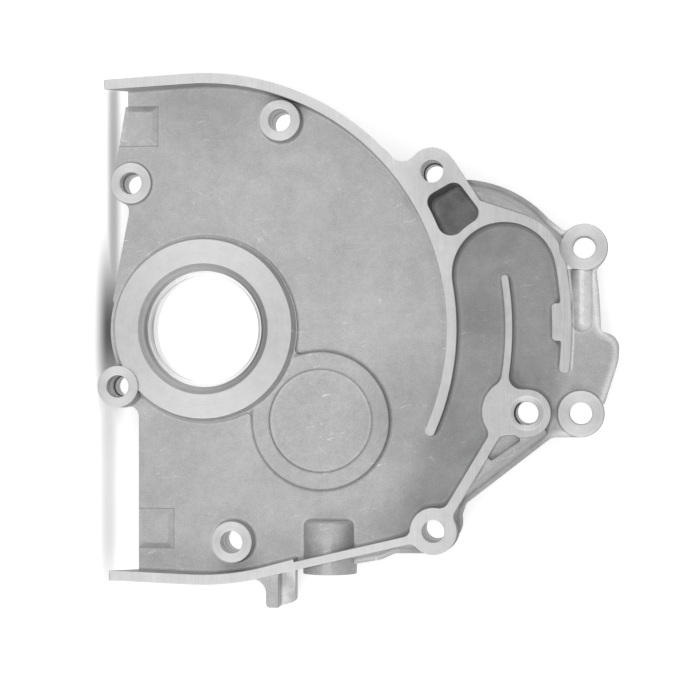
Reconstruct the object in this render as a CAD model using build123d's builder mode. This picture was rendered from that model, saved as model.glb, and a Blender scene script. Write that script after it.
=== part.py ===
from build123d import *

import os
from math import cos, radians, sin, sqrt

# A die-cast aluminium side cover, one casting. It lies with its bolt seats at
# z 0 and its machined gasket face up. The origin is on the axis of the shaft
# bore, where that axis meets the plane of the bolt seats. Lengths are in mm.


def polar(radius, angle):
    """The point at a radius from the bore axis, at an angle in degrees from +X."""
    return Vector(radius * cos(radians(angle)), radius * sin(radians(angle)))


def blend_centre(centre_1, radius_1, centre_2, radius_2):
    """The centre of a fillet arc, from its distances to the centres of two arcs."""
    between = centre_2 - centre_1
    along = (radius_1**2 - radius_2**2 + between.length**2) / (2 * between.length)
    across = sqrt(radius_1**2 - along**2)
    return centre_1 + between.normalized() * along + between.normalized().rotate(Axis.Z, 90) * across


def round_corners(sketch, corners):
    """Round the sketch's corner nearest to each point by the radius beside it."""
    for point, radius in corners:
        fillet(sketch.vertices().sort_by_distance(point)[0], radius)


# Heights above the bolt seats
gasket_z = 20.0
floor_z = 11.2
skin = 3.8
lip_z = 9.4
ledge_z = 17.4
skin_back = floor_z - skin
wall_height = gasket_z - floor_z

# The chamber, round about the bore axis, with its rim and the walls of the
# labyrinth beside it, which are all arcs about the same axis
chamber_radius = 74.3
rim_wall = 3.0
lane = 14.5
rib_wall = 2.1
fin_end_angle = -24.9
upper_lead_angle = 93.2
lower_lead_angle = 267.8
upper_tip_x = -29.9
lower_tip_x = -28.2
rim_mid = chamber_radius + rim_wall / 2
lane_inner = chamber_radius + rim_wall
rib_radius = lane_inner + lane + rib_wall / 2
lane_outer = rib_radius + rib_wall / 2 + lane
outer_wall_radius = lane_outer + rim_wall / 2
arch_radius = lane + rib_wall / 2
arch_angle = 10.0
arch_centre = polar(rib_radius, arch_angle)
rib_top_angle = 9.8
outer_wall_end_angle = -6.9
pad_start_angle = -2.0
pad_end_angle = 3.9
pad_depth = 2.7
pad_root = 0.5

# The shaft boss: a raised ring round the bore, with the seal seat behind it
ring_z = 17.2
ring_radius = 27.2
ring_foot = 28.4
ring_land_radius = 29.7
mouth_radius = 20.0
mouth_chamfer = 2.3
mouth_depth = 4.5
stop_wall = 1.8
bore_radius = 16.45
seal_radius = 18.5
seal_depth = ring_z - mouth_depth - stop_wall
seal_boss_radius = 24.0

# Bolt holes: the place of each from the bore axis, and the height of its boss
bolt_hole = 6.8
bolt_step = 6.1
step_depth = 7.0
boss_radius = 6.25
bolt_a = polar(chamber_radius - 6.9, 69.7)
bolt_b = polar(50.45, 117.4)
bolt_c = polar(31.35, 213.9)
bolt_d = polar(chamber_radius - 9.1, 277.8)
bolt_e = polar(lane_inner + 7.0, 33.9)
bolt_f = polar(rib_radius, -40.8)
bolt_g = polar(rib_radius + 8.6, -14.45)
bolt_h = polar(lane_outer + 8.5, -12.65)
bolt_i = polar(lane_outer + 9.3, 11.95)
bolts = [bolt_a, bolt_b, bolt_c, bolt_d, bolt_e, bolt_f, bolt_g, bolt_h, bolt_i]
boss_a_z = 16.0
boss_b_z = 12.5
boss_c_z = 18.0
boss_d_z = 17.0
flange_boss_z = 13.2
flange_boss_radius = 6.95
flange_round = flange_boss_radius + 0.15
spot_face_radius = flange_boss_radius + 0.3
gasket_boss_radius = 7.05
flange_f_radius = gasket_boss_radius + 0.2
blend = 4.7
sink_radius = 5.0
sink_angle = 125.0
seat_radius = 6.4
boss_draft = 0.25
on_base = (Align.CENTER, Align.CENTER, Align.MIN)

# The hub at bolt G, which carries the foot of the middle rib
hub_radius = 9.8
hub_blend = 3.0
hub_centre = bolt_g + Vector(-3.6, 0.45)
brace_wall = 3.1
brace_top = hub_centre + Vector(-4.4, -4.5)
brace_foot = bolt_f + Vector(4.0, 4.8)
recess_z = 15.2

# The blind pocket between rim, arch and bolt E
pocket_floor_z = 3.0
pocket_wall = 2.3
pocket_corner = 3.1
pocket_foot_corner = 4.2
pocket_box_corner = 4.7
pocket_rim_gap = 0.6
pocket_arch_gap = 2.55
pocket_corners = [
    polar(lane_inner - 3, 30.0),
    polar(lane_inner + 11.8, 29.9),
    polar(lane_inner + 15.4, 19.4),
    polar(lane_inner - 3, 14.0),
]
pocket_turns = [
    polar(lane_inner + 3.0, 28.2),
    polar(lane_inner + 9.7, 28.3),
    polar(lane_inner + 11.2, 22.7),
    polar(lane_inner + 3.0, 20.8),
]

# The flange on the right, with its low lip and its ear
flange_radius = lane_outer + 11.6
ear_radius = lane_outer + 17.3
neck_angle = 9.4
ear_angle = -0.4
lip = 1.5
skirt_taper = 20.0

# Raised disc and band on the chamber floor
disc_centre = Vector(35.5, -27.9)
disc_radius = 15.8
band_radius = 20.9
disc_rise = 1.1
band_rise = 1.8
band_fillet = 1.6

# Spigot through the lower wall, and the stop lug beside it
spigot_x = 37.9
spigot_radius = 8.2
spigot_top_y = -58.0
spigot_end_y = -74.4
spigot_corner = 1.8
lug_left = 18.9
lug_step = 22.6
lug_right = 27.1
lug_end_y = -84.7
lug_slant = 1.4
lug_blend = 4.5
lug_corner = 1.2
lug_back_z = 2.0
lug_z = 13.0
lug_step_z = 7.0

# Small raised pads at the open left edge: right end, lower and upper side
pad_rise = 1.3
pad_taper = 50.0
edge_pads = [(-15.2, 56.4, 68.2), (-10.1, -66.8, -55.1)]

# Half-round bead between boss I and the ear
bead_x = flange_radius - 5.6
bead_radius = 3.6
bead_z = 13.0
bead_top_y = bolt_i.Y - 5.0
bead_end_y = 2.0

# Web between the ring and boss C
web_z = 15.0
web_width = 7.0
web_angle = 205.0

# Ribs on the back
back_rib = 2.6
back_rib_z = 2.0
bore_axis = Vector(0, 0)
back_ribs = [
    (bore_axis, bolt_a),
    (bore_axis, bolt_d),
    (bore_axis, bolt_e),
    (bore_axis, bolt_f),
    (bolt_f, bolt_g),
    (bolt_g, bolt_h),
    (bolt_e, bolt_i),
]

# The open left edge of the plate, from top to bottom
plate_top_left = Vector(-23.3, lane_inner + 1.7)
plate_above_b = Vector(-28.5, 47.5)
plate_below_b = Vector(-22.6, 43.0)
plate_above_ring = Vector(-29.0, 9.0)
plate_lower_x = -20.8
upper_lean_x = -24.3
beyond = 90.0
notch_blend = 3.3
notch_reach = (boss_radius + notch_blend) ** 2 - (plate_lower_x - notch_blend - bolt_c.X) ** 2
notch_centre = Vector(plate_lower_x - notch_blend, bolt_c.Y - sqrt(notch_reach))

# The lower wall runs out straight to bolt F, thinner past the spigot
lower_wall_turn = 285.2
wall_step_x = 28.5
thin_wall = 2.4

# Right of bolt G, and above and below its land, the hub is cut away
above_g = bolt_g.Y + gasket_boss_radius
below_g = bolt_g.Y - gasket_boss_radius
beyond_hub = [
    Vector(bolt_g.X - gasket_boss_radius, above_g),
    Vector(bolt_g.X - gasket_boss_radius, above_g + 6),
    Vector(bolt_g.X + gasket_boss_radius, above_g + 6),
    Vector(bolt_g.X + gasket_boss_radius, below_g - 6),
    Vector(brace_top.X - 1, below_g - 6),
    Vector(brace_top.X - 1, below_g),
    Vector(bolt_g.X, below_g),
    Vector(bolt_g.X, above_g),
]
# The stretch of the flange that has no ledge
bay_above = [
    polar(outer_wall_radius, arch_angle - 1),
    polar(flange_radius + 9, arch_angle - 1),
    polar(ear_radius + 9, -16),
    bolt_g + Vector(7.6, -12),
    bolt_g + Vector(5.0, -4.5),
    bolt_g,
    polar(rib_radius + 6, -10),
    polar(lane_outer + 1, -4),
]
# The shallow recess beside the brace, under the hub
brace_way = (brace_foot - brace_top).normalized()
brace_edge = brace_top + brace_way.rotate(Axis.Z, 90) * (brace_wall / 2 - 0.1)
recess_corner = brace_edge + brace_way * ((below_g - brace_edge.Y) / brace_way.Y)
recess = [
    recess_corner - brace_way * 0.5,
    recess_corner + brace_way * 10.8,
    bolt_g + Vector(-1.6, -7.9),
    bolt_g + Vector(-3.6, -6.4),
]


# The walls and lands that reach the machined gasket face
with BuildSketch(Plane.XY.offset(gasket_z)) as gasket_face:
    # Rim and fin are one arc about the bore axis, run out straight at the left
    with BuildLine():
        rim = CenterArc((0, 0), rim_mid, fin_end_angle, upper_lead_angle - fin_end_angle)
        upper_lead = ((rim @ 1).X - upper_tip_x) / abs((rim % 1).X)
        Line(rim @ 1, rim @ 1 + (rim % 1) * upper_lead)
    trace(line_width=rim_wall)
    # Lower wall, from the left tip round to bolt F
    with BuildLine():
        low = CenterArc((0, 0), rim_mid, lower_lead_angle, lower_wall_turn - lower_lead_angle)
        lower_lead = ((low @ 0).X - lower_tip_x) / abs((low % 0).X)
        Line(low @ 0 - (low % 0) * lower_lead, low @ 0)
        Line(low @ 1, low @ 1 + (low % 1) * (wall_step_x - (low @ 1).X) / (low % 1).X)
    trace(line_width=rim_wall)
    thin_start = low @ 1 + (low % 1).rotate(Axis.Z, -90) * (rim_wall - thin_wall) / 2
    with BuildLine():
        Line(thin_start, bolt_f - Vector(0, 0.9))
    trace(line_width=thin_wall)
    # Arch and outer wall of the labyrinth
    with BuildLine():
        CenterArc(arch_centre, arch_radius + rim_wall / 2, arch_angle, 180)
        CenterArc((0, 0), outer_wall_radius, outer_wall_end_angle, arch_angle - outer_wall_end_angle)
    trace(line_width=rim_wall)
    # Land between rim, arch and bolt E
    blend_e = blend_centre(Vector(0, 0), lane_inner + blend, bolt_e, gasket_boss_radius + blend)
    with BuildLine():
        Polyline(
            bolt_e,
            blend_e,
            blend_e.normalized() * rim_mid,
            polar(rim_mid, arch_angle),
            arch_centre + polar(arch_radius + 0.5, 110),
            arch_centre + polar(arch_radius + rim_wall, 74),
            arch_centre + polar(arch_radius + rim_wall + 4.4, 107.8),
            bolt_e + polar(gasket_boss_radius, 34),
            close=True,
        )
    make_face()
    with Locations(blend_e):
        Circle(blend, mode=Mode.SUBTRACT)
    with Locations(arch_centre):
        Circle(arch_radius, mode=Mode.SUBTRACT)
    # Hub, middle rib down to it, and the brace from the hub to bolt F
    with Locations(hub_centre):
        Circle(hub_radius)
    with BuildLine():
        Polyline(*beyond_hub, close=True)
    make_face(mode=Mode.SUBTRACT)
    with BuildLine():
        CenterArc((0, 0), rib_radius, -12.0, rib_top_angle + 12.0)
    trace(line_width=rib_wall)
    with BuildLine():
        Line(brace_top, brace_foot)
    trace(line_width=brace_wall)
    with Locations(bolt_e, bolt_f, bolt_g):
        Circle(gasket_boss_radius)
    # Pad on the inside of the outer wall
    with BuildLine():
        CenterArc(
            (0, 0),
            lane_outer - pad_depth / 2 + pad_root / 2,
            pad_start_angle,
            pad_end_angle - pad_start_angle,
        )
    trace(line_width=pad_depth + pad_root)
    Circle(chamber_radius, mode=Mode.SUBTRACT)
    round_corners(
        gasket_face,
        [
            (polar(chamber_radius, fin_end_angle), 0.45 * rim_wall),
            (polar(lane_inner, fin_end_angle), 0.45 * rim_wall),
            (polar(rib_radius - rib_wall / 2, rib_top_angle), 0.45 * rib_wall),
            (polar(rib_radius + rib_wall / 2, rib_top_angle), 0.45 * rib_wall),
            (polar(lane_outer, outer_wall_end_angle), 0.4 * rim_wall),
            (polar(lane_outer + rim_wall, outer_wall_end_angle), 0.4 * rim_wall),
            (polar(lane_outer - pad_depth, pad_start_angle), 0.4 * pad_depth),
            (polar(lane_outer - pad_depth, pad_end_angle), 0.4 * pad_depth),
            (polar(lane_outer, pad_start_angle), 0.25 * pad_depth),
            (polar(lane_outer, pad_end_angle), 0.25 * pad_depth),
            (hub_centre + Vector(-4.2, 8.9), 1.3 * hub_blend),
            (Vector(sqrt((rib_radius + rib_wall / 2) ** 2 - above_g**2), above_g), 1.3 * hub_blend),
            (hub_centre + Vector(-7.4, -6.5), hub_blend),
            (recess_corner, 1.1 * hub_blend),
            (bolt_f + Vector(3.1, 6.3), hub_blend),
            (bolt_f + Vector(5.6, 4.3), hub_blend),
            (bolt_f + Vector(-6.9, -1.4), 0.8 * hub_blend),
            (bolt_f + Vector(-6.0, -3.7), 0.8 * hub_blend),
        ],
    )

# The flange beyond the walls, from bolt E round the ear to the spigot, with
# sharp corners and then with rounded ones
with BuildSketch(Plane.XY.offset(lip_z)) as sharp_flange:
    with BuildLine():
        shoulder = ThreePointArc(
            polar(lane_outer - 16.4, 29.3),
            polar(lane_outer - 5.9, 23.7),
            polar(lane_outer + 1.2, 17.5),
        )
        Polyline(shoulder @ 1, bolt_i, polar(flange_radius, neck_angle))
        right_edge = CenterArc((0, 0), flange_radius, neck_angle, ear_angle - neck_angle)
        Polyline(
            right_edge @ 1,
            polar(ear_radius, ear_angle - 0.8),
            polar(ear_radius, ear_angle - 4.0),
            bolt_h + Vector(flange_round, 3.0),
            bolt_h,
            bolt_h + Vector(0, -flange_round),
            bolt_h + Vector(-8.6, -flange_round),
            bolt_f + Vector(9.2, 7.8),
            bolt_f + Vector(8.0, 4.0),
            bolt_f,
            bolt_f + Vector(0, -flange_f_radius),
            bolt_f + Vector(-12.0, -flange_f_radius),
            bolt_f + Vector(-16.3, -9.2),
            bolt_f + Vector(-31.5, -11.9),
            bolt_f + Vector(-31.5, 0),
            polar(chamber_radius - 4, 0),
            shoulder @ 0 + Vector(-7, -2),
            shoulder @ 0,
        )
    make_face()
    with Locations(bolt_h, bolt_i):
        Circle(flange_round)
    with Locations(bolt_f, bolt_f + Vector(1.0, 2.4)):
        Circle(flange_f_radius)

with BuildSketch(Plane.XY.offset(skin_back)) as flange:
    add(sharp_flange.sketch_local)
    round_corners(
        flange,
        [
            (bolt_i + polar(flange_round, 140), 2.0),
            (bolt_i + polar(flange_round, -60), 3.0),
            (right_edge @ 1, 1.2),
            (polar(ear_radius, ear_angle - 0.8), 4.5),
            (polar(ear_radius, ear_angle - 4.0), 8.0),
            (bolt_h + Vector(flange_round, 3.0), 1.0),
            (bolt_h + Vector(-8.6, -flange_round), 4.0),
            (bolt_f + Vector(9.2, 7.8), 3.0),
            (bolt_f + Vector(-12.0, -flange_f_radius), 2.5),
            (bolt_f + Vector(-16.3, -9.2), 2.5),
        ],
    )

# What is cut away at the open left side
with BuildSketch(Plane.XY) as plate_edge:
    with BuildLine():
        Polyline(
            (-beyond, beyond),
            plate_top_left,
            plate_above_b,
            plate_below_b,
            plate_above_ring,
            (plate_lower_x, -20),
            (plate_lower_x, -beyond),
            (-beyond, -beyond),
            close=True,
        )
    make_face()

# The plate: the whole outline, open at the left
with BuildSketch(Plane.XY.offset(skin_back)) as plate:
    Circle(lane_inner)
    add(gasket_face.sketch_local)
    add(flange.sketch_local)
    add(plate_edge.sketch_local, mode=Mode.SUBTRACT)
    Circle(ring_land_radius)
    with Locations(bolt_b, bolt_c):
        Circle(boss_radius)
    # Fillets where the edge runs into bosses B and C
    round_corners(plate, [(bolt_b + Vector(0, -boss_radius), notch_blend)])
    with BuildLine():
        Polyline(
            bolt_c,
            notch_centre,
            (plate_lower_x, notch_centre.Y),
            (plate_lower_x, bolt_c.Y),
            close=True,
        )
    make_face()
    with Locations(notch_centre):
        Circle(notch_blend, mode=Mode.SUBTRACT)

# Everything inside the walls, cut down to the floor
with BuildSketch(Plane.XY.offset(gasket_z)) as hollow:
    Circle(rim_mid)
    # Open left side, between the straight leads of the rim
    with BuildLine():
        Polyline(rim @ 1, (-beyond, (rim @ 1).Y), (-beyond, (low @ 0).Y), low @ 0, close=True)
    make_face()
    # Way from the chamber past the free end of the fin into the labyrinth
    with BuildLine():
        Polyline(low @ 1, bolt_f, hub_centre, polar(rim_mid, 0), (0, 0), close=True)
    make_face()
    # The two lanes of the labyrinth and the arch that joins them
    with Locations(arch_centre):
        Circle(arch_radius + 0.5)
    with BuildLine():
        CenterArc((0, 0), rib_radius, -16.0, arch_angle + 16.0)
    trace(line_width=2 * lane + rib_wall + 1.0)
    add(gasket_face.sketch_local, mode=Mode.SUBTRACT)


# The band round the raised disc runs into the foot of the ring
with BuildSketch(Plane.XY.offset(floor_z)) as band:
    with Locations(disc_centre):
        Circle(band_radius)
    Circle(ring_foot)
    fillet(band.vertices(), band_fillet)

with BuildSketch(Plane.XY.offset(floor_z)) as band_hollow:
    with Locations(disc_centre):
        Circle(disc_radius)


# The blind pocket, whose sides follow the rim and the arch, and its box behind
with BuildSketch(Plane.XY.offset(gasket_z)) as pocket:
    with BuildLine():
        Polyline(*pocket_corners, close=True)
    make_face()
    Circle(lane_inner + pocket_rim_gap, mode=Mode.SUBTRACT)
    with Locations(arch_centre):
        Circle(arch_radius + pocket_arch_gap, mode=Mode.SUBTRACT)
    fillet(pocket.vertices().sort_by(Axis.Y)[0], pocket_foot_corner)
    for corner in range(3):
        fillet(pocket.vertices().sort_by_distance(pocket_corners[corner])[0], pocket_corner)

with BuildSketch(Plane.XY.offset(pocket_floor_z - pocket_wall)) as pocket_box:
    with Locations(*pocket_turns):
        Circle(pocket_box_corner)
    make_hull()

# The stop lug below the lower wall, with a fillet on its left
lug_blend_centre = Vector(lug_left - lug_blend, 0)
lug_blend_centre -= Vector(0, sqrt((lane_inner + lug_blend) ** 2 - lug_blend_centre.X**2))
with BuildSketch(Plane.XY.offset(lug_back_z)) as lug:
    with BuildLine():
        Polyline(
            lug_blend_centre.normalized() * rim_mid,
            lug_blend_centre,
            (lug_left, lug_blend_centre.Y),
            (lug_left, lug_end_y),
            (lug_step, lug_end_y),
            (lug_right, lug_end_y + lug_slant),
            (lug_right, 1 - chamber_radius),
            close=True,
        )
    make_face()
    with Locations(lug_blend_centre):
        Circle(lug_blend, mode=Mode.SUBTRACT)
    round_corners(
        lug,
        [
            ((lug_left, lug_end_y), lug_corner),
            ((lug_right, lug_end_y + lug_slant), lug_corner),
        ],
    )


with BuildPart() as cover_casting:
    # Plate and skirt
    extrude(plate.sketch, amount=skin)
    with BuildSketch(Plane.XY.offset(floor_z)):
        add(sharp_flange.sketch_local)
        offset(amount=-lip)
    extrude(amount=ledge_z - floor_z, taper=skirt_taper)
    # The skirt stops at the bay on the right, which is open to its edge
    with BuildSketch(Plane.XY.offset(floor_z)):
        with BuildLine():
            Polyline(*bay_above, close=True)
        make_face()
    extrude(amount=gasket_z - floor_z, mode=Mode.SUBTRACT)
    extrude(hollow.sketch, amount=floor_z - gasket_z, mode=Mode.SUBTRACT)
    extrude(gasket_face.sketch, amount=-wall_height)

    # The open ends of the rim lean back from the tips to the plate
    for tip_x, lean_x, side in ((upper_tip_x, upper_lean_x, 1), (lower_tip_x, plate_lower_x, -1)):
        with BuildSketch(Plane.XZ.offset(-side * chamber_radius)):
            with BuildLine():
                Polyline(
                    (tip_x, gasket_z),
                    (lean_x, floor_z),
                    (lean_x, 0),
                    (-beyond, 0),
                    (-beyond, gasket_z),
                    close=True,
                )
            make_face()
        extrude(amount=6, both=True, mode=Mode.SUBTRACT)

    # Spigot through the lower wall, rounded at its inner end
    with BuildSketch(Plane.XY.offset(spigot_radius)):
        with BuildLine():
            Polyline(
                (spigot_x, spigot_end_y),
                (spigot_x + spigot_radius, spigot_end_y),
                (spigot_x + spigot_radius, spigot_top_y - spigot_corner),
            )
            RadiusArc(
                (spigot_x + spigot_radius, spigot_top_y - spigot_corner),
                (spigot_x + spigot_radius - spigot_corner, spigot_top_y),
                -spigot_corner,
            )
            Polyline(
                (spigot_x + spigot_radius - spigot_corner, spigot_top_y),
                (spigot_x, spigot_top_y),
                (spigot_x, spigot_end_y),
            )
        make_face()
    revolve(axis=Axis((spigot_x, 0, spigot_radius), (0, 1, 0)))

    # Stop lug, lower to the right of its step
    extrude(lug.sketch, amount=lug_step_z - lug_back_z)
    with BuildSketch(Plane.XY.offset(lug_step_z)):
        add(lug.sketch_local)
        with Locations((lug_step, lug_end_y - lug_corner)):
            Rectangle(lug_right, chamber_radius, align=Align.MIN, mode=Mode.SUBTRACT)
    extrude(amount=lug_z - lug_step_z)

    # Recess between hub, brace and ledge
    with BuildSketch(Plane.XY.offset(gasket_z)) as recess_mouth:
        with BuildLine():
            Polyline(*recess, close=True)
        make_face()
        round_corners(
            recess_mouth,
            [
                (recess[0], 0.85 * hub_blend),
                (recess[1], 0.3 * hub_blend),
                (recess[2], 0.3 * hub_blend),
            ],
        )
    extrude(amount=recess_z - gasket_z, mode=Mode.SUBTRACT)

    # Ribs on the back, from the bore to the bolt columns and between them
    with BuildSketch(Plane.XY.offset(back_rib_z)):
        for start, end in back_ribs:
            with BuildLine():
                Line(start, end)
            trace(line_width=back_rib)
    extrude(amount=skin_back + skin / 2 - back_rib_z)

    # Ring round the bore, and the bolt columns in front of the plate
    with BuildSketch(Plane.XZ):
        with BuildLine():
            Polyline(
                (0, 0),
                (seal_boss_radius, 0),
                (seal_boss_radius + 0.4, floor_z),
                (ring_foot, floor_z),
                (ring_radius, ring_z),
                (0, ring_z),
                close=True,
            )
        make_face()
    revolve(axis=Axis.Z)
    for place, top_z in ((bolt_a, boss_a_z), (bolt_b, boss_b_z), (bolt_c, boss_c_z), (bolt_d, boss_d_z)):
        with Locations((place.X, place.Y, floor_z)):
            Cone(boss_radius + boss_draft, boss_radius, top_z - floor_z, align=on_base)
    for place in (bolt_h, bolt_i):
        with Locations((place.X, place.Y, flange_boss_z)):
            Cylinder(spot_face_radius, gasket_z - flange_boss_z, align=on_base, mode=Mode.SUBTRACT)
        with Locations((place.X, place.Y, floor_z - 1)):
            Cylinder(flange_boss_radius, flange_boss_z - floor_z + 1, align=on_base)
    # Each bolt has a column behind the plate, down to its seat
    for place in bolts:
        with Locations((place.X, place.Y, 0)):
            Cone(seat_radius, seat_radius + boss_draft, skin_back + 1, align=on_base)

    # Raised band and disc on the chamber floor
    extrude(band.sketch, amount=band_rise)
    extrude(band_hollow.sketch, amount=band_rise, mode=Mode.SUBTRACT)
    extrude(band_hollow.sketch, amount=disc_rise)

    # Web between the ring and boss C
    with BuildSketch(Plane.XY.offset(floor_z)):
        with BuildLine():
            Line(polar(ring_radius - 3, web_angle), bolt_c)
        trace(line_width=web_width)
    extrude(amount=web_z - floor_z)

    # Raised pads at the open left edge
    for pad_x, pad_low_y, pad_high_y in edge_pads:
        with BuildSketch(Plane.XY.offset(floor_z)):
            with Locations((pad_x, pad_low_y)):
                Rectangle(-plate_above_b.X, pad_high_y - pad_low_y, align=(Align.MAX, Align.MIN))
            add(plate_edge.sketch_local, mode=Mode.SUBTRACT)
        extrude(amount=pad_rise, taper=pad_taper)

    # Bead between boss I and the ear, with a domed end
    with BuildSketch(Plane.XZ.offset(-bead_end_y)):
        with Locations((bead_x, bead_z - bead_radius)):
            Circle(bead_radius)
            Rectangle(3 * bead_radius, 2 * bead_radius, align=(Align.CENTER, Align.MIN), mode=Mode.INTERSECT)
    extrude(amount=bead_end_y - bead_top_y)
    with Locations((bead_x, bead_end_y, bead_z - bead_radius)):
        Sphere(bead_radius, arc_size1=0, align=on_base)

    # Blind pocket, in a box of its own behind the plate
    extrude(pocket_box.sketch, amount=floor_z - pocket_floor_z + pocket_wall)
    extrude(pocket.sketch, amount=pocket_floor_z - gasket_z, mode=Mode.SUBTRACT)

    # Bore: chamfered mouth, flat ledge, clearance for the shaft, seal seat behind
    with BuildSketch(Plane.XZ):
        with BuildLine():
            Polyline(
                (0, 0),
                (seal_radius, 0),
                (seal_radius, seal_depth),
                (bore_radius, seal_depth),
                (bore_radius, ring_z - mouth_depth),
                (mouth_radius - mouth_chamfer, ring_z - mouth_depth),
                (mouth_radius - mouth_chamfer, ring_z - mouth_chamfer),
                (mouth_radius, ring_z),
                (0, ring_z),
                close=True,
            )
        make_face()
    revolve(axis=Axis.Z, mode=Mode.SUBTRACT)

    # Bolt holes; those at B, C and E narrow towards the bolt head
    with Locations(bolt_a, bolt_d, bolt_f, bolt_h, bolt_i):
        Hole(bolt_hole / 2)
    for place, top_z in ((bolt_b, boss_b_z), (bolt_c, boss_c_z), (bolt_e, gasket_z)):
        with Locations((place.X, place.Y, top_z)):
            CounterBoreHole(bolt_step / 2, bolt_hole / 2, top_z - step_depth)
    with Locations((bolt_g.X, bolt_g.Y, gasket_z)):
        CounterSinkHole(bolt_hole / 2, sink_radius, counter_sink_angle=sink_angle)

cover_casting.part.label = "cover_casting"
os.makedirs("parts", exist_ok=True)
export_step(cover_casting.part, "parts/cover_casting.step")
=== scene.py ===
from math import cos, radians, sin
from types import SimpleNamespace
from typing import NamedTuple

import bpy
from mathutils import Matrix, Vector

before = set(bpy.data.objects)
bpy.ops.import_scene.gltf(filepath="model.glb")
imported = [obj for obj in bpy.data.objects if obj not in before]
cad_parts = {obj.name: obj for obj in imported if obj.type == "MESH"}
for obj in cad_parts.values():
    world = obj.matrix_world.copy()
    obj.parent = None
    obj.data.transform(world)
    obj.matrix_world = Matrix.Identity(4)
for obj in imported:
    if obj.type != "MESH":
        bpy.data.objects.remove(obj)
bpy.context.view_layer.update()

# Lengths are written in millimetres and turned into the frame's metres by MM
MM = 0.001

# The part's levels and the sizes that the finishes follow, as in the solids
GASKET_Z = 20.0
RING_Z = 17.2
RECESS_Z = 15.2
FLANGE_BOSS_Z = 13.2
FLOOR_Z = 11.2
SEAT_Z = 0.0
HOLE_RADIUS = 3.4
SINK_RADIUS = 5.0
BOSS_RADIUS = 6.25
FLANGE_BOSS_RADIUS = 6.95
SHAFT_RADIUS = 16.45
MOUTH_FOOT_RADIUS = 17.7
MOUTH_RADIUS = 20.0
RING_RADIUS = 27.2
RING_FOOT = 28.4
WALL = 3.0
LANE_WIDTH = 14.5
RIB_HALF = 1.05
CHAMBER_RADIUS = 74.3
LANE_INNER = CHAMBER_RADIUS + WALL
RIB_RADIUS = LANE_INNER + LANE_WIDTH + RIB_HALF
LANE_OUTER = RIB_RADIUS + RIB_HALF + LANE_WIDTH
OUTER_WALL_RADIUS = LANE_OUTER + WALL
BEAD_X = LANE_OUTER + 6.0
BEAD_Y = 8.9
BEAD_LENGTH = 21.0
BEAD_RADIUS = 3.6
RECESS_PLACE = (91.0, -35.5, 0.0)
RECESS_REACH = 8.5
DISC_PLACE = (35.5, -27.9, 0.0)
DISC_RADIUS = 15.8
BAND_RADIUS = 20.9

# Low pads at the open edge: right end, lower and upper side
PADS = ((-15.2, 56.4, 68.2), (-10.1, -66.8, -55.1))


def polar(radius, angle):
    """The point at a radius from the bore axis, at an angle in degrees from +X."""
    return (radius * cos(radians(angle)), radius * sin(radians(angle)), 0.0)


class Boss(NamedTuple):
    """A bolt boss: its place, its turned top's height and radius, and its hole's mouth."""

    place: tuple
    top_z: float
    radius: float
    mouth: float = HOLE_RADIUS


FLANGE_BOSSES = (
    Boss(polar(LANE_OUTER + 8.5, -12.65), FLANGE_BOSS_Z, FLANGE_BOSS_RADIUS),
    Boss(polar(LANE_OUTER + 9.3, 11.95), FLANGE_BOSS_Z, FLANGE_BOSS_RADIUS),
)

# All the bosses. Where a top is milled with the gasket face, its turned part is only the hole,
# or the countersink
BOSSES = (
    Boss(polar(CHAMBER_RADIUS - 6.9, 69.7), 16.0, BOSS_RADIUS),
    Boss(polar(50.45, 117.4), 12.5, BOSS_RADIUS),
    Boss(polar(31.35, 213.9), 18.0, BOSS_RADIUS),
    Boss(polar(CHAMBER_RADIUS - 9.1, 277.8), 17.0, BOSS_RADIUS),
    Boss(polar(LANE_INNER + 7.0, 33.9), GASKET_Z, HOLE_RADIUS),
    Boss(polar(RIB_RADIUS, -40.8), GASKET_Z, HOLE_RADIUS),
    Boss(polar(RIB_RADIUS + 8.6, -14.45), GASKET_Z, SINK_RADIUS, SINK_RADIUS),
    *FLANGE_BOSSES,
)

# Colours as linear grey levels
MACHINED = 0.52
TURNED = 0.5
CAST = 0.435
CAST_LOW = 0.3
LEDGE = 0.4
BAY = 0.38
RECESS = 0.38
GRIME = 0.16

# Stretches of X over which one finish, or one painted wall shade, gives way to the next
TO_LABYRINTH = (48.0, 66.0)
TO_LANE_WALLS = (48.0, 60.0)
TO_DULL_MILLING = (55.0, 95.0)
TO_DEEP_MARKS = (95.0, 105.0)
TO_FLANGE_BOSSES = (105.0, 110.0)

# What each detail of the cast skin multiplies the grey by: painted light on deep floors and pad
# slopes, painted highlights on the bead and by the wall, painted shade at feet, and scratches
POCKET_FILL_LIGHT = 1.35
POCKET_PAST_RIM_FILL_LIGHT = 1.25
BEAD_HIGHLIGHT = 1.5
PAD_FOOT_SHADE = 0.62
PAD_SLOPE_LIGHT = 1.22
BAND_FOOT_SHADE = 0.66
DISC_FOOT_SHADE = 0.86
WALL_FOOT_HIGHLIGHT = 1.5
SCRATCH_TONE = 1.6

# The same for details of the machined faces: painted sheen, painted shade on walls and lines, and
# painted light on the bore's ledge and the countersink
DULL_MILLING_TONE = 0.8
SHEEN = 0.09
HOLE_WALL_SHADE = 0.6
MOUTH_LIGHT_AND_SHADE = (1.05, 0.85)
MOUTH_LINE_SHADE = 0.55
SINK_LIGHT = 1.05
SINK_CRESCENT_SHADE = 0.12
BORE_LEDGE_HIGHLIGHT = 1.65
LEDGE_LINE_SHADE = 0.62
FLANGE_TOP_TONE = 0.95

# The same for edges, corners and walls, as painted shade and painted light
CORNER_SHADE = 0.45
FOOT_HIGHLIGHT = 1.22
LIP_HIGHLIGHT = 1.65
ROUNDED_SHADE = 0.9
SHELTERED_FILL_LIGHT = 1.45
CHAMBER_WALL_SHADE = 0.76
LANE_WALL_SHADE = 0.55
BAY_WALL_LIGHT = 1.2

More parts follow.
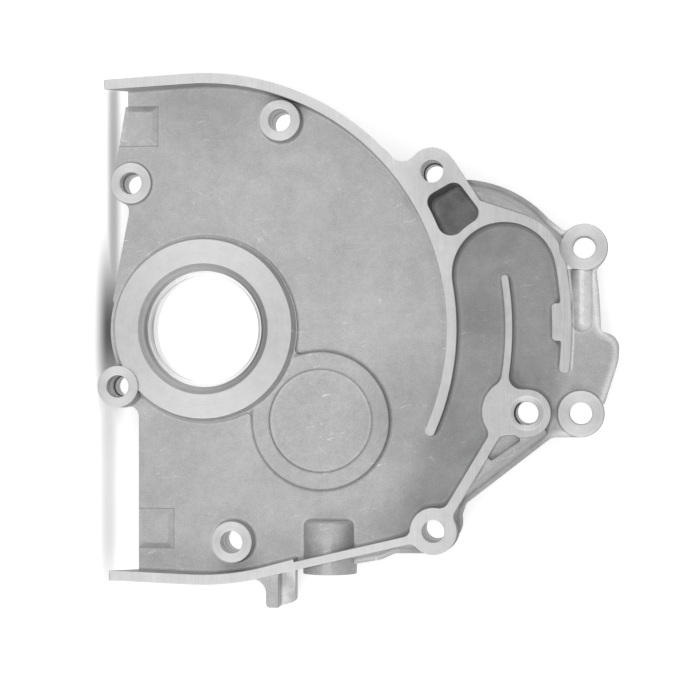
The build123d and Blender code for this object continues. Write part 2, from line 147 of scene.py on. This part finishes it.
# Dull patches on the floor: centre, reach and what each multiplies the grey by
DULL_SPOTS = (
    ((64.0, -26.0, 0.0), 24.0, 0.82),
    ((83.5, 4.0, 0.0), 12.0, 0.84),
    ((68.5, 42.0, 0.0), 13.0, 0.86),
    ((-24.0, 40.0, 0.0), 22.0, 0.93),
    ((0.0, 66.0, 0.0), 22.0, 0.92),
    (DISC_PLACE, 24.0, 0.96),
)

# Scratches: their way in X and Y, and how many patches of them there are to the millimetre
SCRATCHES = ((1.0, 0.35, 0.11), (0.7, -0.75, 0.13))

# The sweep below the part: its size and gap in metres, its own grey, and the light that the camera
# sees added to it, in the open and, as a painted glow, brighter under the holes
FLOOR_SIZE = 6.0
FLOOR_GAP = 0.0002
FLOOR_GREY = 0.85
FLOOR_GLOW = 0.5
HOLE_GLOW = 0.95

# Shade on the sweep along the part's left edge, as strips. Each has its middle, half width and
# fade in X, the same in Y, and how much light is left there
SHADES = (
    (-31.3, 0.3, 2.9, 26.0, 48.0, 3.0, 0.42),
    (-32.3, 0.85, 5.6, 0.0, 0.0, 42.0, 0.1),
    (-32.8, 0.3, 4.5, -45.0, 20.0, 30.0, 0.64),
)

# Strength of the even surround, and the lamps: place in metres, width, height and power
ROOM_LIGHT = 0.5
LIT_PLACE = (0.045, 0.0, 0.01)
LAMPS = {
    "overhead": ((0.05, 0.0, 1.3), 2.4, 2.4, 5.6),
    "key_top": ((0.05, 0.9, 1.0), 1.2, 0.6, 2.7),
    "key_bottom": ((0.05, -0.9, 1.0), 1.2, 0.6, 4.0),
}

# The camera looks almost straight down, with the part's place in the frame read from the photo
FOCAL_PIXELS = 2300.0
IMAGE_PIXELS = 680.0
SENSOR = 36.0
TILT_ABOUT_Y = 6.621
TILT_ABOUT_X = 0.623
CAMERA_PLACE = Vector((121.87, -10.98, 705.36)) * MM

WHITE = (1.0, 1.0, 1.0, 1.0)


class Nodes:
    """Short helpers that add shader nodes to one material or world and link them."""

    def __init__(self, owner):
        owner.use_nodes = True
        self.tree = owner.node_tree
        self.tree.nodes.clear()

    def node(self, kind):
        return self.tree.nodes.new("ShaderNode" + kind)

    def link(self, source, socket):
        """Feed a socket from another socket or with a constant."""
        if isinstance(source, bpy.types.NodeSocket):
            self.tree.links.new(source, socket)
        else:
            socket.default_value = source

    def math(self, operation, first, second=0.0, clamp=False):
        node = self.node("Math")
        node.operation = operation
        node.use_clamp = clamp
        self.link(first, node.inputs[0])
        self.link(second, node.inputs[1])
        return node.outputs[0]

    def vector(self, operation, first, second=(0.0, 0.0, 0.0), output="Vector"):
        node = self.node("VectorMath")
        node.operation = operation
        self.link(first, node.inputs[0])
        self.link(second, node.inputs[1])
        return node.outputs[output]

    def scale(self, vector, factor):
        node = self.node("VectorMath")
        node.operation = "SCALE"
        self.link(vector, node.inputs[0])
        self.link(factor, node.inputs["Scale"])
        return node.outputs["Vector"]

    def split(self, vector):
        node = self.node("SeparateXYZ")
        self.link(vector, node.inputs[0])
        return node.outputs

    def join(self, x, y, z=0.0):
        node = self.node("CombineXYZ")
        for source, socket in zip((x, y, z), node.inputs):
            self.link(source, socket)
        return node.outputs[0]

    def ramp(self, value, low, high, start=0.0, end=1.0):
        """Smooth step from start to end as the value goes from low to high."""
        node = self.node("MapRange")
        node.interpolation_type = "SMOOTHSTEP"
        for source, socket in zip((value, low, high, start, end), node.inputs):
            self.link(source, socket)
        return node.outputs[0]

    def fall(self, value, low, high):
        """One up to low, falling to nothing at high."""
        return self.ramp(value, low, high, 1.0, 0.0)

    def near(self, value, centre, half, soft):
        """One where the value is within half of centre, falling to nothing over soft."""
        away = self.math("ABSOLUTE", self.math("SUBTRACT", value, centre))
        return self.fall(away, half, half + soft)

    def mix(self, factor, first, second):
        """Blend of two numbers."""
        node = self.node("Mix")
        node.data_type = "FLOAT"
        self.link(factor, node.inputs[0])
        self.link(first, node.inputs[2])
        self.link(second, node.inputs[3])
        return node.outputs[0]

    def mix_vector(self, factor, first, second):
        """Blend of two vectors."""
        node = self.node("Mix")
        node.data_type = "VECTOR"
        self.link(factor, node.inputs[0])
        self.link(first, node.inputs[4])
        self.link(second, node.inputs[5])
        return node.outputs[1]

    def noise(self, vector, per_mm, detail, roughness):
        """Noise with the stated number of cells to the millimetre."""
        node = self.node("TexNoise")
        self.link(vector, node.inputs["Vector"])
        node.inputs["Scale"].default_value = per_mm
        node.inputs["Detail"].default_value = detail
        node.inputs["Roughness"].default_value = roughness
        return node.outputs[0]

    def occlusion(self, reach, inside=False):
        """One in the open, and less near a corner, or near an edge when it looks inside."""
        node = self.node("AmbientOcclusion")
        node.samples = 8
        node.inside = inside
        self.link(reach, node.inputs["Distance"])
        return node.outputs["AO"]

    def chain(self, operation, first, others):
        for other in others:
            first = self.math(operation, first, other)
        return first

    def add(self, first, *others):
        return self.chain("ADD", first, others)

    def both(self, first, *others):
        """Product of numbers, which is where all of several masks hold."""
        return self.chain("MULTIPLY", first, others)

    def either(self, first, *others):
        """Largest of numbers, which is where any of several masks holds."""
        return self.chain("MAXIMUM", first, others)

    def less(self, first, second):
        """The first mask where the second doesn't hold."""
        return self.math("SUBTRACT", first, second, clamp=True)

    def distance(self, vector, place):
        return self.vector("LENGTH", self.vector("SUBTRACT", vector, place), output="Value")

    def swing(self, pattern, spread):
        """The pattern's swing about its middle, as wide as the spread."""
        return self.both(self.math("SUBTRACT", pattern, 0.5), spread)

    def tone(self, shade, where, factor):
        """The shade, multiplied by the factor where the mask is one."""
        return self.mix(where, shade, self.both(shade, factor))

    def place(self):
        """The point on the surface, in millimetres."""
        return self.scale(self.node("TexCoord").outputs["Object"], 1.0 / MM)

    def direct(self):
        """One for the rays that see the white surround: from the camera, gloss and glass."""
        path = self.node("LightPath").outputs
        return self.either(
            path["Is Camera Ray"], path["Is Glossy Ray"], path["Is Transmission Ray"]
        )


def surface(n):
    """Where a point is on the casting, and which way its face looks."""
    place = n.place()
    x, y, z = n.split(place)
    flat = n.join(x, y)
    normal = n.node("NewGeometry").outputs["True Normal"]
    tilt = n.split(normal)[2]
    return SimpleNamespace(
        place=place,
        x=x,
        y=y,
        z=z,
        flat=flat,
        from_bore=n.vector("LENGTH", flat, output="Value"),
        normal=normal,
        facing_up=n.ramp(tilt, 0.97, 0.995),
        facing_down=n.ramp(tilt, -0.97, -0.995),
        upright=n.fall(n.math("ABSOLUTE", tilt), 0.1, 0.25),
        sloped=n.both(n.ramp(tilt, 0.4, 0.5), n.fall(tilt, 0.95, 0.98)),
    )


def machined_faces(n, s):
    """Masks of the gasket face, ring, boss tops, bolt seats and holes, and their tool marks."""

    def at(level, facing):
        return n.both(n.near(s.z, level, 0.1, 0.05), facing)

    milled = at(GASKET_Z, s.facing_up)
    on_ring = n.fall(s.from_bore, RING_RADIUS + 0.8, RING_RADIUS + 0.9)
    ring_face = n.both(at(RING_Z, s.facing_up), on_ring)
    in_bore = n.fall(s.from_bore, MOUTH_RADIUS + 0.2, MOUTH_RADIUS + 0.3)
    seats = at(SEAT_Z, s.facing_down)
    turned = n.either(ring_face, in_bore)
    from_axis = s.from_bore
    axis_way = s.flat
    in_holes = 0.0
    hole_lips = 0.0
    for boss in BOSSES:
        way = n.vector("SUBTRACT", s.flat, boss.place)
        away = n.vector("LENGTH", way, output="Value")
        inside = n.fall(away, boss.radius + 0.15, boss.radius + 0.35)
        turned = n.either(turned, n.both(at(boss.top_z, s.facing_up), inside))
        from_axis = n.mix(inside, from_axis, away)
        axis_way = n.mix_vector(inside, axis_way, way)
        in_holes = n.either(in_holes, n.fall(away, boss.mouth + 0.05, boss.mouth + 0.15))
        hole_lips = n.either(hole_lips, n.near(away, HOLE_RADIUS + 0.1, 0.35, 0.2))
    milled = n.less(milled, turned)
    holes = n.both(in_holes, n.less(1.0, s.facing_up))

    # Rings about the nearest axis, straight passes on the milled face, and rings down the holes
    ring_marks = n.noise(n.join(from_axis, 0.0, n.both(s.z, 0.2)), 2.6, 4.0, 0.7)
    pass_marks = n.noise(n.join(s.x, n.both(s.y, 0.02)), 2.2, 4.0, 0.7)
    down = n.noise(n.join(n.both(s.x, 0.1), n.both(s.y, 0.1), s.z), 1.1, 2.0, 0.6)
    way_x, way_y, _ = n.split(n.vector("NORMALIZE", axis_way))
    return SimpleNamespace(
        milled=milled,
        turned=turned,
        in_bore=in_bore,
        in_holes=in_holes,
        hole_lips=hole_lips,
        everywhere=n.either(milled, turned, seats, holes),
        marks=n.mix(turned, pass_marks, ring_marks),
        rings_down=n.ramp(down, 0.4, 0.6, 0.35, 1.5),
        way_x=way_x,
        way_y=way_y,
    )


def skin_patterns(n, s):
    """Broad clouds, mottle, fine grain and a few light scratches of the cast skin."""
    clouds = n.noise(s.place, 0.035, 3.0, 0.6)
    mottle = n.noise(s.place, 0.32, 5.0, 0.68)
    bent = n.vector("ADD", s.place, n.scale(n.join(mottle, clouds), 9.0))
    bent_x, bent_y, _ = n.split(bent)
    scratches = 0.0
    for way_x, way_y, patches in SCRATCHES:
        along = n.add(n.both(bent_x, way_x), n.both(bent_y, way_y))
        across = n.math("SUBTRACT", n.both(bent_y, way_x), n.both(bent_x, way_y))
        lines = n.noise(n.join(n.both(along, 0.14), n.both(across, 1.5)), 0.9, 2.0, 0.5)
        moved = n.vector("ADD", s.place, (37.0 * way_x, 90.0, 0.0))
        here = n.ramp(n.noise(moved, patches, 2.0, 0.5), 0.55, 0.62)
        scratches = n.either(scratches, n.both(n.ramp(lines, 0.66, 0.7), here))
    return SimpleNamespace(
        clouds=clouds, mottle=mottle, grain=n.noise(s.place, 2.4, 3.0, 0.7), scratches=scratches
    )


def cast_zones(n, s):
    """Masks of the regions whose cast skin differs in colour, and of the deep floors and the bead
    that get painted light.
    """
    into_rim = n.ramp(s.from_bore, CHAMBER_RADIUS - 5.0, LANE_INNER + 6.0)
    past_rim = n.both(into_rim, n.ramp(s.x, *TO_LABYRINTH))
    low = n.both(n.fall(s.z, 12.4, 14.0), n.either(s.facing_up, s.upright))
    before_wall = n.fall(s.from_bore, LANE_OUTER - 2.0, LANE_OUTER + 5.0)
    dulled = 1.0
    for spot, reach, change in DULL_SPOTS:
        away = n.distance(s.flat, spot)
        dulled = n.both(dulled, n.ramp(away, 0.25 * reach, reach, change, 1.0))
    return SimpleNamespace(
        past_rim=past_rim,
        in_lanes=n.both(past_rim, low, before_wall),
        deep=n.both(n.fall(s.z, FLOOR_Z - 4.0, FLOOR_Z - 2.0), s.facing_up),
        on_bead=n.both(
            n.near(s.x, BEAD_X, BEAD_RADIUS, 0.3),
            n.near(s.y, BEAD_Y, BEAD_LENGTH / 2, 0.5),
            n.ramp(s.z, FLOOR_Z, FLOOR_Z + 0.3),
        ),
        on_ear=n.both(
            n.ramp(s.x, LANE_OUTER + 1.0, LANE_OUTER + 4.0), n.ramp(s.y, 1.0, -3.0), s.facing_up
        ),
        on_ledge=n.both(n.ramp(s.z, FLOOR_Z + 3.4, FLOOR_Z + 4.4), past_rim),
        in_recess=n.both(n.near(s.z, RECESS_Z, 0.3, 0.3), s.facing_up, past_rim),
        dulled=dulled,
    )


def painted_foot_lines(n, s):
    """Masks of the painted shade lines at the feet of the pads, the raised band and the disc, and
    of a painted highlight line by the foot of the outer wall.
    """
    pads = 0.0
    for right, lower, upper in PADS:
        from_middle = n.math("ABSOLUTE", n.math("SUBTRACT", s.y, (lower + upper) / 2))
        past_side = n.math("SUBTRACT", from_middle, (upper - lower) / 2)
        past_pad = n.either(past_side, n.math("SUBTRACT", s.x, right))
        pads = n.either(pads, n.both(n.near(past_pad, 0.2, 0.1, 0.2), s.facing_up))
    from_disc = n.distance(s.flat, DISC_PLACE)
    return SimpleNamespace(
        pads=pads,
        band=n.both(
            n.near(from_disc, BAND_RADIUS + 0.35, 0.35, 0.45),
            n.ramp(s.from_bore, RING_FOOT, RING_FOOT + 0.3),
            s.facing_up,
        ),
        disc=n.both(n.near(from_disc, DISC_RADIUS, 0.2, 0.4), s.facing_up),
        wall=n.both(
            n.near(s.from_bore, OUTER_WALL_RADIUS + 0.5, 0.15, 0.2),
            n.near(s.y, 6.0, 17.5, 1.5),
            n.ramp(s.x, LANE_INNER, LANE_OUTER),
            n.ramp(s.z, FLOOR_Z - 0.6, FLOOR_Z - 0.3),
            n.fall(s.z, GASKET_Z - 2.0, GASKET_Z - 1.0),
        ),
    )


def cast_grey(n, s, skin, zones):
    """Grey of the cast skin, with painted light, painted highlights and painted shade lines on it.
    The labyrinth, beyond the rim, is darker than the chamber.
    """
    cast = n.mix(zones.in_lanes, CAST, CAST_LOW)
    cast = n.mix(zones.on_ear, cast, BAY)
    cast = n.mix(zones.on_ledge, cast, LEDGE)
    cast = n.mix(zones.in_recess, cast, RECESS)
    cast = n.both(cast, zones.dulled)
    # Painted fill light that lifts the deep floors of the pocket and the lug, in patches
    patchy = n.ramp(n.noise(s.place, 0.14, 2.0, 0.55), 0.35, 0.65, 0.8, 1.2)
    deep_fill_light = n.both(n.mix(zones.past_rim, POCKET_FILL_LIGHT, POCKET_PAST_RIM_FILL_LIGHT), patchy)
    cast = n.tone(cast, zones.deep, deep_fill_light)
    # Painted highlight on the bead
    cast = n.tone(cast, zones.on_bead, BEAD_HIGHLIGHT)
    lines = painted_foot_lines(n, s)
    # Painted shade lines at the feet of the pads, the raised band and the disc
    cast = n.tone(cast, lines.pads, PAD_FOOT_SHADE)
    # Painted light on the sloped faces of the pads
    cast = n.tone(cast, n.both(s.sloped, n.ramp(s.x, 0.0, -5.0)), PAD_SLOPE_LIGHT)
    cast = n.tone(cast, lines.band, BAND_FOOT_SHADE)
    cast = n.tone(cast, lines.disc, DISC_FOOT_SHADE)
    # Painted highlight: a light line along the foot of the outer wall and the bead's flank
    cast = n.tone(cast, lines.wall, WALL_FOOT_HIGHLIGHT)
    uneven = n.add(n.swing(skin.clouds, 0.4), n.swing(skin.mottle, 0.5), n.swing(skin.grain, 0.8))
    cast = n.both(cast, n.add(1.0, uneven))
    stains = n.both(zones.in_lanes, n.ramp(n.noise(s.place, 0.07, 3.0, 0.6), 0.5, 0.7))
    cast = n.mix(n.both(stains, 0.3), cast, GRIME)
    return n.tone(cast, n.both(skin.scratches, 0.7), SCRATCH_TONE)


def machined_grey(n, s, skin, zones, faces):
    """Grey of the machined metal: duller on the right, with painted sheen on turned faces, painted
    shade on hole walls, and painted light and shade in the bore.
    """
    sideways = n.both(faces.way_x, faces.way_x)
    # Painted sheen on the turned faces: brighter above and below each axis, darker to its sides
    painted_sheen = n.math("SUBTRACT", n.both(faces.way_y, faces.way_y), sideways)
    milled_grey = n.ramp(s.x, *TO_DULL_MILLING, MACHINED, DULL_MILLING_TONE * MACHINED)
    bright = n.mix(faces.turned, milled_grey, TURNED)
    bright = n.tone(bright, faces.turned, n.add(1.0, n.both(painted_sheen, SHEEN)))
    # Painted shade on the upright machined walls of the holes and the bore, broken by rings down
    # them
    walls = n.both(faces.everywhere, s.upright)
    bright = n.tone(bright, walls, n.both(faces.rings_down, HOLE_WALL_SHADE))

    # Painted light and shade on the bore's chamfer, lighter at its foot, with a painted shade line
    # at its foot to the left and right; and on a countersink, painted light with a painted shade
    # crescent on its left
    mouth = n.both(faces.in_bore, s.sloped)
    mouth_painted_tone = n.ramp(s.from_bore, MOUTH_FOOT_RADIUS, MOUTH_RADIUS, *MOUTH_LIGHT_AND_SHADE)
    bright = n.tone(bright, mouth, mouth_painted_tone)
    mouth_shade_line = n.both(mouth, n.near(s.from_bore, MOUTH_FOOT_RADIUS, 0.4, 0.5), sideways)
    bright = n.tone(bright, mouth_shade_line, MOUTH_LINE_SHADE)
    # Painted light on the countersink, and a painted shade crescent on its left side
    sink = n.both(faces.in_holes, s.sloped)
    bright = n.tone(bright, sink, SINK_LIGHT)
    sink_shade_crescent = n.both(sink, faces.hole_lips, n.ramp(faces.way_x, -0.2, -0.7))
    bright = n.tone(bright, sink_shade_crescent, SINK_CRESCENT_SHADE)

    # A painted highlight on the bore's ledge, and a painted shade line at its inner edge to the
    # left and right
    below_ring = n.fall(s.z, RING_Z - 2.0, RING_Z - 1.0)
    bore_ledge = n.both(faces.in_bore, s.facing_up, below_ring)
    bright = n.tone(bright, bore_ledge, BORE_LEDGE_HIGHLIGHT)
    ledge_shade_line = n.both(bore_ledge, n.near(s.from_bore, SHAFT_RADIUS, 0.5, 0.2), sideways)
    bright = n.tone(bright, ledge_shade_line, LEDGE_LINE_SHADE)

    bright = n.tone(bright, n.both(faces.milled, zones.past_rim), zones.dulled)
    flange_tops = n.both(faces.turned, n.ramp(s.x, *TO_FLANGE_BOSSES))
    bright = n.tone(bright, flange_tops, FLANGE_TOP_TONE)
    mark_spread = n.ramp(s.x, *TO_DEEP_MARKS, 0.18, 0.3)
    return n.add(bright, n.swing(faces.marks, mark_spread), n.swing(skin.mottle, 0.14))


def with_corners(n, s, skin, zones, faces, rounded_normal, shade):
    """The shade with worn edges, painted shade in the inner corners and on walls, and painted light
    at corner feet, on the flange's lip, on sheltered floors and on the walls facing the bay.
    """
    rough_skin = n.less(1.0, faces.everywhere)
    to_edge = n.occlusion(2.8 * MM, inside=True)
    corner = n.occlusion(n.mix(zones.in_lanes, 1.2 * MM, 2.0 * MM))
    sheltered_fill = n.fall(n.occlusion(9.0 * MM), 0.4, 1.0)

    # The flange's outside and, in part, the recess get neither painted corner shade nor painted
    # wall shade, but the foot of a flange boss does
    facing_bay = n.both(n.ramp(s.x, LANE_OUTER - 1.0, LANE_OUTER), rough_skin)
    for boss in FLANGE_BOSSES:
        at_boss = n.fall(n.distance(s.flat, boss.place), boss.radius + 0.6, boss.radius + 0.9)
        facing_bay = n.less(facing_bay, at_boss)
    round_recess = n.fall(n.distance(s.flat, RECESS_PLACE), RECESS_REACH - 1.0, RECESS_REACH)
    painted_shade_skin = n.less(rough_skin, n.either(facing_bay, n.both(round_recess, 0.65)))

    # A painted highlight as a light lip along the flange's outline, and painted shade on the
    # rounding outside it
    on_flange = n.both(zones.past_rim, s.facing_up, n.less(rough_skin, zones.in_lanes))
    lip = n.both(
        n.less(on_flange, zones.on_bead), n.near(to_edge, 0.74, 0.09, 0.08), n.fall(s.z, 13.0, 14.0)
    )
    rounded_shade = n.both(on_flange, n.fall(to_edge, 0.54, 0.6))

    turn = n.vector("DOT_PRODUCT", rounded_normal, s.normal, output="Value")
    edge = n.fall(turn, 0.93, 0.995)
    worn = n.both(edge, n.ramp(corner, 0.8, 0.98), n.ramp(skin.grain, 0.3, 0.6))
    shade = n.mix(n.both(worn, 0.15), shade, MACHINED)
    # Painted shade in the inner corners, taken from the occlusion near walls
    corner_shade = n.both(n.fall(corner, 0.62, 0.82), painted_shade_skin)
    shade = n.tone(shade, n.both(corner_shade, 0.6), CORNER_SHADE)
    # Painted highlight: a light line on upward cast faces just outside the painted corner shade
    foot = n.both(n.near(corner, 0.92, 0.03, 0.04), s.facing_up, rough_skin)
    shade = n.tone(shade, foot, FOOT_HIGHLIGHT)
    shade = n.tone(shade, lip, LIP_HIGHLIGHT)
    shade = n.tone(shade, rounded_shade, ROUNDED_SHADE)
    # Painted fill light: upward cast floors are lightened where nearby walls shelter them
    shade = n.tone(shade, n.both(sheltered_fill, s.facing_up, rough_skin), SHELTERED_FILL_LIGHT)
    # Painted shade on the upright cast walls above the floor, deeper in the labyrinth
    painted_wall_shade = n.both(s.upright, n.ramp(s.z, FLOOR_Z, FLOOR_Z + 0.5), painted_shade_skin)
    wall_shade_tone = n.ramp(s.x, *TO_LANE_WALLS, CHAMBER_WALL_SHADE, LANE_WALL_SHADE)
    shade = n.tone(shade, painted_wall_shade, wall_shade_tone)
    # Painted light on the upright walls that face the bay
    return n.tone(shade, n.both(facing_bay, s.upright), BAY_WALL_LIGHT)


def casting_material():
    """Die-cast aluminium: matt mottled cast skin, and bright tool-marked machined faces."""
    material = bpy.data.materials.new("cast_and_machined_aluminium")
    n = Nodes(material)
    s = surface(n)
    faces = machined_faces(n, s)
    skin = skin_patterns(n, s)
    zones = cast_zones(n, s)
    machined = faces.everywhere
    bevel = n.node("Bevel")
    bevel.samples = 6
    bevel.inputs["Radius"].default_value = 0.4 * MM

    cast = cast_grey(n, s, skin, zones)
    shade = n.mix(machined, cast, machined_grey(n, s, skin, zones, faces))
    shade = with_corners(n, s, skin, zones, faces, bevel.outputs[0], shade)

    cast_roughness = n.add(0.5, n.both(skin.mottle, 0.16))
    machined_roughness = n.add(0.3, n.both(faces.marks, 0.14))
    cast_height = n.add(n.both(skin.grain, 0.55), n.both(skin.mottle, 1.3))
    bump = n.node("Bump")
    bump.inputs["Strength"].default_value = 0.5
    bump.inputs["Distance"].default_value = 0.12 * MM
    n.link(n.mix(machined, cast_height, n.both(faces.marks, 0.16)), bump.inputs["Height"])
    n.link(bevel.outputs[0], bump.inputs["Normal"])

    shader = n.node("BsdfPrincipled")
    n.link(n.join(shade, shade, n.both(shade, 1.01)), shader.inputs["Base Color"])
    n.link(n.mix(machined, cast_roughness, machined_roughness), shader.inputs["Roughness"])
    n.link(n.mix(machined, 0.4, 0.85), shader.inputs["Metallic"])
    n.link(bump.outputs[0], shader.inputs["Normal"])
    n.link(shader.outputs[0], n.node("OutputMaterial").inputs["Surface"])
    return material


def floor_material():
    """White sweep that keeps the part's shadow, with painted shade strips along the part's left
    edge and a painted glow where the holes show it.
    """
    material = bpy.data.materials.new("white_sweep")
    n = Nodes(material)
    x, y, _ = n.split(n.place())
    level = 1.0
    for x_middle, x_half, x_fade, y_middle, y_half, y_fade, left in SHADES:
        shaded = n.both(n.near(x, x_middle, x_half, x_fade), n.near(y, y_middle, y_half, y_fade))
        level = n.math("MINIMUM", level, n.mix(shaded, 1.0, left))
    flat = n.join(x, y)
    # Painted light: the sweep glows brighter under the bore and the holes
    through = n.fall(n.vector("LENGTH", flat, output="Value"), SHAFT_RADIUS, SHAFT_RADIUS + 1.0)
    for boss in BOSSES:
        away = n.distance(flat, boss.place)
        through = n.either(through, n.fall(away, HOLE_RADIUS, HOLE_RADIUS + 0.5))

    grey = n.both(level, FLOOR_GREY)
    diffuse = n.node("BsdfDiffuse")
    n.link(n.join(grey, grey, grey), diffuse.inputs["Color"])
    glow = n.node("Emission")
    glow.inputs["Color"].default_value = WHITE
    lit = n.mix(through, n.both(level, FLOOR_GLOW), HOLE_GLOW)
    n.link(n.both(n.direct(), lit), glow.inputs["Strength"])
    sweep = n.node("AddShader")
    n.link(diffuse.outputs[0], sweep.inputs[0])
    n.link(glow.outputs[0], sweep.inputs[1])

    # The sweep is clear from below, so that the back of the part can be looked at
    one_sided = n.node("MixShader")
    n.link(n.node("NewGeometry").outputs["Backfacing"], one_sided.inputs[0])
    n.link(sweep.outputs[0], one_sided.inputs[1])
    n.link(n.node("BsdfTransparent").outputs[0], one_sided.inputs[2])
    n.link(one_sided.outputs[0], n.node("OutputMaterial").inputs["Surface"])
    return material


def softbox(name, place, width, height, power):
    """A large soft lamp that is aimed at the part."""
    light = bpy.data.lights.new(name, "AREA")
    light.shape = "RECTANGLE"
    light.size = width
    light.size_y = height
    light.energy = power
    lamp = bpy.data.objects.new(name, light)
    lamp.location = place
    aim = Vector(LIT_PLACE) - Vector(place)
    lamp.rotation_euler = aim.to_track_quat("-Z", "Y").to_euler()
    bpy.context.scene.collection.objects.link(lamp)


finish = casting_material()
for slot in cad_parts["cover_casting"].material_slots:
    slot.material = finish

bpy.ops.mesh.primitive_plane_add(size=FLOOR_SIZE, location=(0.0, 0.0, -FLOOR_GAP))
floor = bpy.context.object
floor.name = "floor"
floor.data.materials.append(floor_material())

# World: a dim even surround that the camera sees as white, also by reflection
world = bpy.data.worlds.new("studio")
bpy.context.scene.world = world
surround = Nodes(world)
background = surround.node("Background")
background.inputs["Color"].default_value = WHITE
strength = surround.mix(surround.direct(), ROOM_LIGHT, 1.0)
surround.link(strength, background.inputs["Strength"])
surround.link(background.outputs[0], surround.node("OutputWorld").inputs["Surface"])

for name, (place, width, height, power) in LAMPS.items():
    softbox(name, place, width, height, power)

look = Vector(
    (
        -sin(radians(TILT_ABOUT_Y)) * cos(radians(TILT_ABOUT_X)),
        sin(radians(TILT_ABOUT_X)),
        -cos(radians(TILT_ABOUT_Y)) * cos(radians(TILT_ABOUT_X)),
    )
)
right = look.cross(Vector((0.0, 1.0, 0.0))).normalized()
up = right.cross(look)
turned_to = Matrix((right, up, -look)).transposed().to_4x4()
camera_data = bpy.data.cameras.new("camera")
camera_data.sensor_width = SENSOR
camera_data.lens = SENSOR * FOCAL_PIXELS / IMAGE_PIXELS
camera = bpy.data.objects.new("camera", camera_data)
camera.matrix_world = Matrix.Translation(CAMERA_PLACE) @ turned_to
bpy.context.scene.collection.objects.link(camera)
bpy.context.scene.camera = camera
bpy.context.scene.view_settings.view_transform = "Standard"
